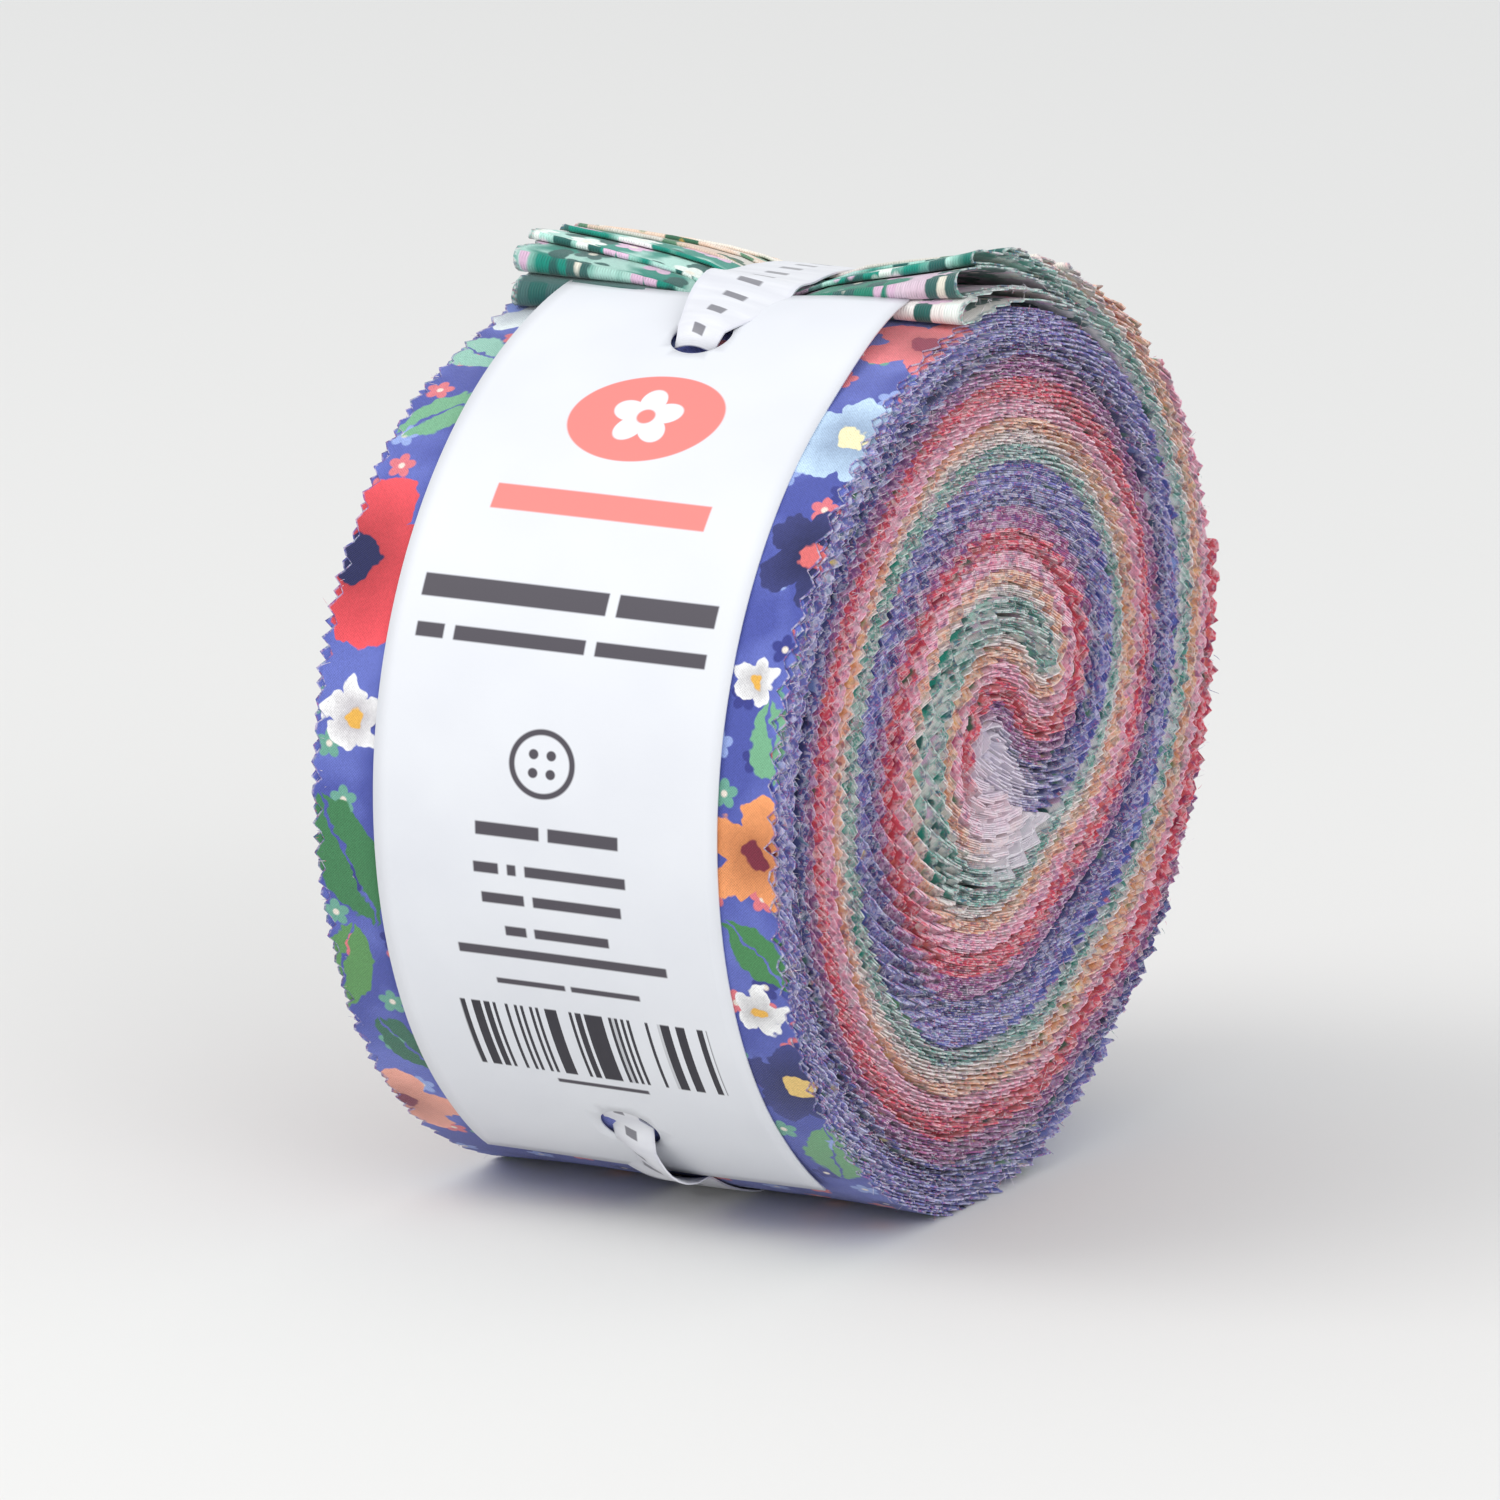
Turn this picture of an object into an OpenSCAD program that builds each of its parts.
// Roll of folded cotton quilting strips, held by a ribbon that is threaded through a paper label card.
// The roll's axis lies along X. It stands on its side wall, and the origin is on the surface
// that it stands on, under the centre of the winding. The label card faces -Y.

/* [Strips] */
// Number of strips in the roll
strip_count = 40; // [34:1:48]
// Cut width of a strip, along the roll's axis
strip_width = 63.5; // [50:0.5:80]
// Cut length of a strip, selvedge to selvedge
strip_length = 1092; // [900:2:1320]
// Thickness of one ply of cotton as it is wound
ply = 0.246; // [0.2:0.001:0.3]
// Air between one strip and the next
strip_gap = 0.02; // [0.01:0.005:0.04]

/* [Winding] */
// Distance from the centre of the winding to the fold-back of the core
hook_radius = 17.5; // [15:0.5:21]
// Direction of that fold-back, from +Y towards +Z
hook_angle = 33; // [0:1:60]
// Radius of the eye inside the fold-back
eye_radius = 0.3; // [0.2:0.05:0.6]
// How far the roll's own weight flattens its underside
sag = 1.4; // [0.6:0.1:2]
// Height of the roll's upper half against a round one: the ribbon pulls it down
top_squeeze = 0.955; // [0.93:0.005:1]
// Depth of the roll's back half against a round one
back_squeeze = 0.93; // [0.9:0.005:1]
// Share of a strip's length that its ripples take up
take_up = 0.03; // [0:0.005:0.05]

/* [Label card] */
// Width of the card, along the roll's axis
card_width = 47; // [35:0.5:60]
// Length of the card, around the roll
card_length = 143.5; // [110:0.5:178]
// Thickness of the card
card_thick = 0.3; // [0.2:0.05:0.4]
// Direction of the card's top edge, from +Y towards +Z
card_top_angle = 97.5; // [88:0.5:104]
// Radius of the two punched holes
hole_radius = 3.9; // [3.3:0.1:5]
// Distance from each end of the card to its hole
hole_inset = 12; // [6:0.5:16]

/* [Ribbon] */
// Width of the ribbon
ribbon_width = 11; // [8:0.5:14]
// Thickness of the ribbon
ribbon_thick = 0.35; // [0.25:0.05:0.45]
// Air between the band and the roll
band_gap = 0.36; // [0.3:0.02:0.6]
// Air between the card and the ribbon
card_gap = 0.1; // [0.05:0.05:0.2]
// Air between the gathered ribbon and the edge of a hole
neck_gap = 0.8; // [0.4:0.1:1.2]
// Direction of the knot, from +Y towards +Z
knot_angle = 4; // [-20:1:30]
// Diameter of the knot
knot_d = 6.5; // [5:0.5:9]
// Length of each ribbon tail
tail_length = 36; // [20:1:45]
// Angle of each tail to the vertical
tail_splay = 20; // [10:1:35]

/* [Hidden] */
winding_step = 10;
band_step = 5;
// How far the ribbon is pressed flat under the roll
pressed = 0.06;
eps = 0.01;
knot_fn = 48;
stack = 2 * ply * strip_count;
folded_length = strip_length / 2 * (1 - take_up);
roll_radius = hook_radius + eye_radius + 2 * stack;

// The layers sorted by print, from the core side of the stack to the outside, each with the share of the
// stack that it fills
prints = [
    ["teal", 0.10, "#2f8f87"], ["cream", 0.10, "#e6dfd0"], ["orange", 0.075, "#c77b45"],
    ["pink", 0.125, "#dd9db4"], ["red", 0.15, "#c94a5a"], ["plum", 0.15, "#7b4a80"],
    ["navy", 0.10, "#2c2f63"], ["periwinkle", 0.15, "#6f74b8"], ["floral", 0.06, "#5660af"]
];
function print_at(share, k = 0, sum = 0) =
    k >= len(prints) - 1 || share < sum + prints[k][1] ? prints[k] :
    print_at(share, k + 1, sum + prints[k][1]);
function print_of(i) = print_at((i + 0.5) / strip_count);
function two_digits(n) = n < 10 ? str("0", n) : str(n);
function strip_name(i) = str("strip_", two_digits(i + 1), "_", print_of(i)[0]);

// ---- The squeezed outline ----------------------------------------------------------------------------
// The winding is drawn round, then its back and top are squeezed and its underside is flattened.
flat_z = -(roll_radius - sag);
function circle_z(y) = -sqrt(max(roll_radius * roll_radius - y * y, 1));
function settle(p) = [p[0] * (p[0] > 0 ? back_squeeze : 1),
                      p[1] * (p[1] > 0 ? top_squeeze : min(1, flat_z / circle_z(p[0])))];
// Height of the winding's centre over the surface: the roll's weight presses the ribbon's underside flat
centre_z = -flat_z + band_gap + ribbon_thick - pressed;
function lift(p) = [p[0], p[1] + centre_z];
function place(p) = lift(settle(p));

// ---- The winding -------------------------------------------------------------------------------------
// All layers run parallel. A station is a ray across the stack: [centre, direction, radius at offset 0,
// sign of the offset], and a layer at offset d crosses it at centre + (radius + sign * d) * direction.

function dir(a) = [cos(a), sin(a)];
hook = hook_radius * dir(hook_angle);
// Angle about the fold-back over which each turn is wound round it
lead_angle = acos((hook_radius - stack) / hook_radius);
arc_angle = 360 - lead_angle;
core_steps = floor(360 / winding_step);
arc_steps = floor(arc_angle / winding_step);
lead_steps = ceil(lead_angle / winding_step) - 1;
half_steps = round(180 / winding_step);
turns = 4;

function core_leg() = [for (k = [core_steps:-1:1])
    [[0, 0], dir(hook_angle + k * winding_step), hook_radius - eye_radius, -1]];
function fold_back() = [for (k = [0:half_steps])
    [hook, dir(hook_angle + 180 + k * winding_step), eye_radius, 1]];
function turn(n) = concat(
    [for (k = [1:arc_steps])
        [[0, 0], dir(hook_angle + k * winding_step), hook_radius + eye_radius + (n - 1) * stack, 1]],
    [[[0, 0], dir(hook_angle + arc_angle), hook_radius + eye_radius + (n - 1) * stack, 1]],
    [for (a = concat([lead_angle], [for (k = [lead_steps:-1:0]) k * winding_step]))
        [hook, dir(hook_angle - a), eye_radius + n * stack, 1]]);
stations = concat(core_leg(), fold_back(), [for (n = [1:turns]) each turn(n)]);

function crossing(k, d) = stations[k][0] + (stations[k][2] + stations[k][3] * d) * stations[k][1];
// Squeezed point of the layer at offset d, part way (s) between two stations
function on_layer(s, d) = let (k = floor(s), f = s - k, p = settle(crossing(k, d)))
    f < eps / 10 ? p : p * (1 - f) + settle(crossing(k + 1, d)) * f;

// Angle of the core leg's end: it stops against the outside of the fold-back
function leg_angle(r) =
    let (reach = stack + eye_radius + 2 * eps,
         c = r <= 0 ? -2 : (r * r + hook_radius * hook_radius - reach * reach) / (2 * r * hook_radius))
    r <= 0 ? 0 : c > 1 ? 360 : c > -1 ? 360 - acos(c) :
    180 * min(1, r / max(reach - hook_radius, eps));
function start_at(d) = core_steps - leg_angle(hook_radius - eye_radius - d) / winding_step;
// Walks along the layer at offset d until its whole length is laid down
function end_at(d, s, left) =
    let (next = floor(s + 1), run = norm(on_layer(next, d) - on_layer(s, d)))
    run >= left || next >= len(stations) - 1 ? s + (next - s) * min(1, left / run) :
    end_at(d, next, left - run);
function strip_start(i) = max(start_at((i + 1) * 2 * ply), 0);
function strip_end(i) = let (d = (i + 0.5) * 2 * ply) end_at(d, strip_start(i), folded_length);

// ---- Strips ------------------------------------------------------------------------------------------
// Stands a Y-Z outline up and gives it a width along X
module along_x(w) rotate([90, 0, 90]) translate([0, 0, -w / 2]) linear_extrude(w) children();

function layer_run(d, s0, s1) = concat(
    [on_layer(s0, d)], [for (k = [floor(s0 + 1 + eps):ceil(s1 - eps) - 1]) on_layer(k, d)],
    [on_layer(s1, d)]);
function reversed(list) = [for (k = [len(list) - 1:-1:0]) list[k]];

module strip(i) {
    low = i * 2 * ply + strip_gap / 2;
    high = (i + 1) * 2 * ply - strip_gap / 2;
    s0 = strip_start(i);
    s1 = strip_end(i);
    outline = concat(layer_run(low, s0, s1), reversed(layer_run(high, s0, s1)));
    color(print_of(i)[2]) along_x(strip_width) polygon([for (p = outline) lift(p)]);
}

// ---- The outside of the roll, which the band follows -------------------------------------------------
// (its radius is that of the round winding, before the squeeze)
last_turn = arc_steps + lead_steps + 3;
function polar(p) = [(atan2(p[1], p[0]) + 360) % 360, norm(p)];
function round_point(s, d) = let (k = floor(s), f = s - k) crossing(k, d) * (1 - f) + crossing(k + 1, d) * f;
rim = [for (i = [0:strip_count - 1])
    let (d = (i + 1) * 2 * ply, s1 = strip_end(i))
    for (k = concat([s1], [for (n = [0:last_turn]) floor(s1) - n]))
    polar(round_point(k, d))];
function apart(a, b) = let (t = abs(a - b) % 360) min(t, 360 - t);
band_count = 360 / band_step;
// Where the roll stands, the band keeps one radius, so that its underside is one flat
flat_half_angle = asin(sqrt(roll_radius * roll_radius - flat_z * flat_z) / roll_radius) + band_step;
rim_at = [for (k = [0:band_count - 1])
    max([apart(k * band_step, 270) <= flat_half_angle ? roll_radius : 0,
         for (p = rim) if (apart(p[0], k * band_step) <= band_step * 1.2) p[1]])];
// Radius of the roll's outside at an angle, between the band's own stations
function outside(a) =
    let (t = ((a % 360) + 360) % 360 / band_step, k = floor(t), f = t - k)
    rim_at[k % band_count] * (1 - f) + rim_at[(k + 1) % band_count] * f;

// Outline of a sheet that lies at a height over the roll and passes through the angles in marks
function band_angles(a0, a1) = concat(
    [a0], [for (k = [floor(a0 / band_step) + 1:ceil(a1 / band_step) - 1]) k * band_step]);
function sheet_outline(marks, height, thick) =
    let (last = len(marks) - 1,
         angles = concat([for (n = [0:last - 1]) each band_angles(marks[n], marks[n + 1])], [marks[last]]))
    [for (p = concat(
        [for (a = angles) (outside(a) + height(a)) * dir(a)],
        [for (a = reversed(angles)) (outside(a) + height(a) + thick) * dir(a)])) place(p)];

// ---- Label card --------------------------------------------------------------------------------------
card_height = band_gap + ribbon_thick + card_gap;
card_radius = roll_radius + card_height;
function arc_of(length) = length / card_radius * 180 / PI;
card_bottom_angle = card_top_angle + arc_of(card_length);
hole_angles = [card_top_angle + arc_of(hole_inset), card_bottom_angle - arc_of(hole_inset)];
hole_depth = 12;

// Moves to the outside of the roll at angle a, with +Z pointing away from the roll
module at_angle(a) {
    p = place(outside(a) * dir(a));
    translate([0, p[0], p[1]]) rotate([a - 90, 0, 0]) children();
}

module label_card() {
    color("#eef0f4") difference() {
        along_x(card_width)
            polygon(sheet_outline([card_top_angle, card_bottom_angle], function(a) card_height, card_thick));
        for (a = hole_angles)
            at_angle(a) translate([0, 0, -hole_depth / 2])
                cylinder(r = hole_radius, h = hole_depth, $fn = 48);
    }
}

// ---- Ribbon ------------------------------------------------------------------------------------------
over_card = card_height + card_thick + card_gap;
ramp_angle = 6;
card_clear = 1;
neck_length = 2.4;
neck_width = 2 * sqrt(pow(hole_radius - neck_gap, 2) - pow(neck_length / 2, 2));
neck_cover = 1.5;

function share_of_ramp(a) =
    let (over = max(a - (360 + card_top_angle), card_bottom_angle - a) + card_clear + ramp_angle)
    max(0, min(1, over / ramp_angle));
// The ribbon rides over both ends of the card, and lies on the roll elsewhere
function ribbon_height(a) = band_gap + (over_card - band_gap) * share_of_ramp(a);

module ribbon_outside() {
    start = hole_angles[1] - arc_of(neck_cover);
    end = 360 + hole_angles[0] + arc_of(neck_cover);
    marks = [start, card_bottom_angle + card_clear, 360 + card_top_angle - card_clear, end];
    along_x(ribbon_width) difference() {
        polygon(sheet_outline(marks, function(a) ribbon_height(a), ribbon_thick));
        translate([-roll_radius, -roll_radius]) square([2 * roll_radius, roll_radius]);
    }
}

module ribbon_behind_card() {
    start = hole_angles[0] - arc_of(neck_cover);
    end = hole_angles[1] + arc_of(neck_cover);
    along_x(ribbon_width) polygon(sheet_outline([start, end], function(a) band_gap, ribbon_thick));
}

// The gathered ribbon that goes through one hole of the card
module neck(a) {
    foot = band_gap + ribbon_thick / 2;
    top = over_card + ribbon_thick / 2;
    at_angle(a) translate([-neck_width / 2, -neck_length / 2, foot])
        cube([neck_width, neck_length, top - foot]);
}

knot_lift = knot_d / 2 + band_gap;
tail_out = knot_lift;

module knot() {
    at_angle(knot_angle) translate([0, 0, knot_lift]) rotate([0, 90, 0])
        rotate_extrude($fn = knot_fn) intersection() {
            circle(d = knot_d, $fn = knot_fn);
            translate([0, -knot_d]) square([knot_d, 2 * knot_d]);
        }
}

// One free end, cut on the slant
module tail(side) {
    p = place(outside(knot_angle) * dir(knot_angle));
    half = ribbon_width / 2;
    translate([0, p[0] + tail_out, p[1]]) rotate([0, -side * tail_splay, 0])
        rotate([90, 0, 0]) translate([0, 0, -ribbon_thick / 2]) linear_extrude(ribbon_thick)
        polygon([[-knot_d / 3, 0], [knot_d / 3, 0], [half, -knot_d],
                 [half, -tail_length - side * half / 2], [-half, -tail_length + side * half / 2],
                 [-half, -knot_d]]);
}

module ribbon() {
    color("#e9ebf0") union() {
        ribbon_outside();
        ribbon_behind_card();
        for (a = hole_angles) neck(a);
        knot();
        for (side = [-1, 1]) tail(side);
    }
}

for (i = [0:strip_count - 1])
    strip(i);
label_card();
ribbon();
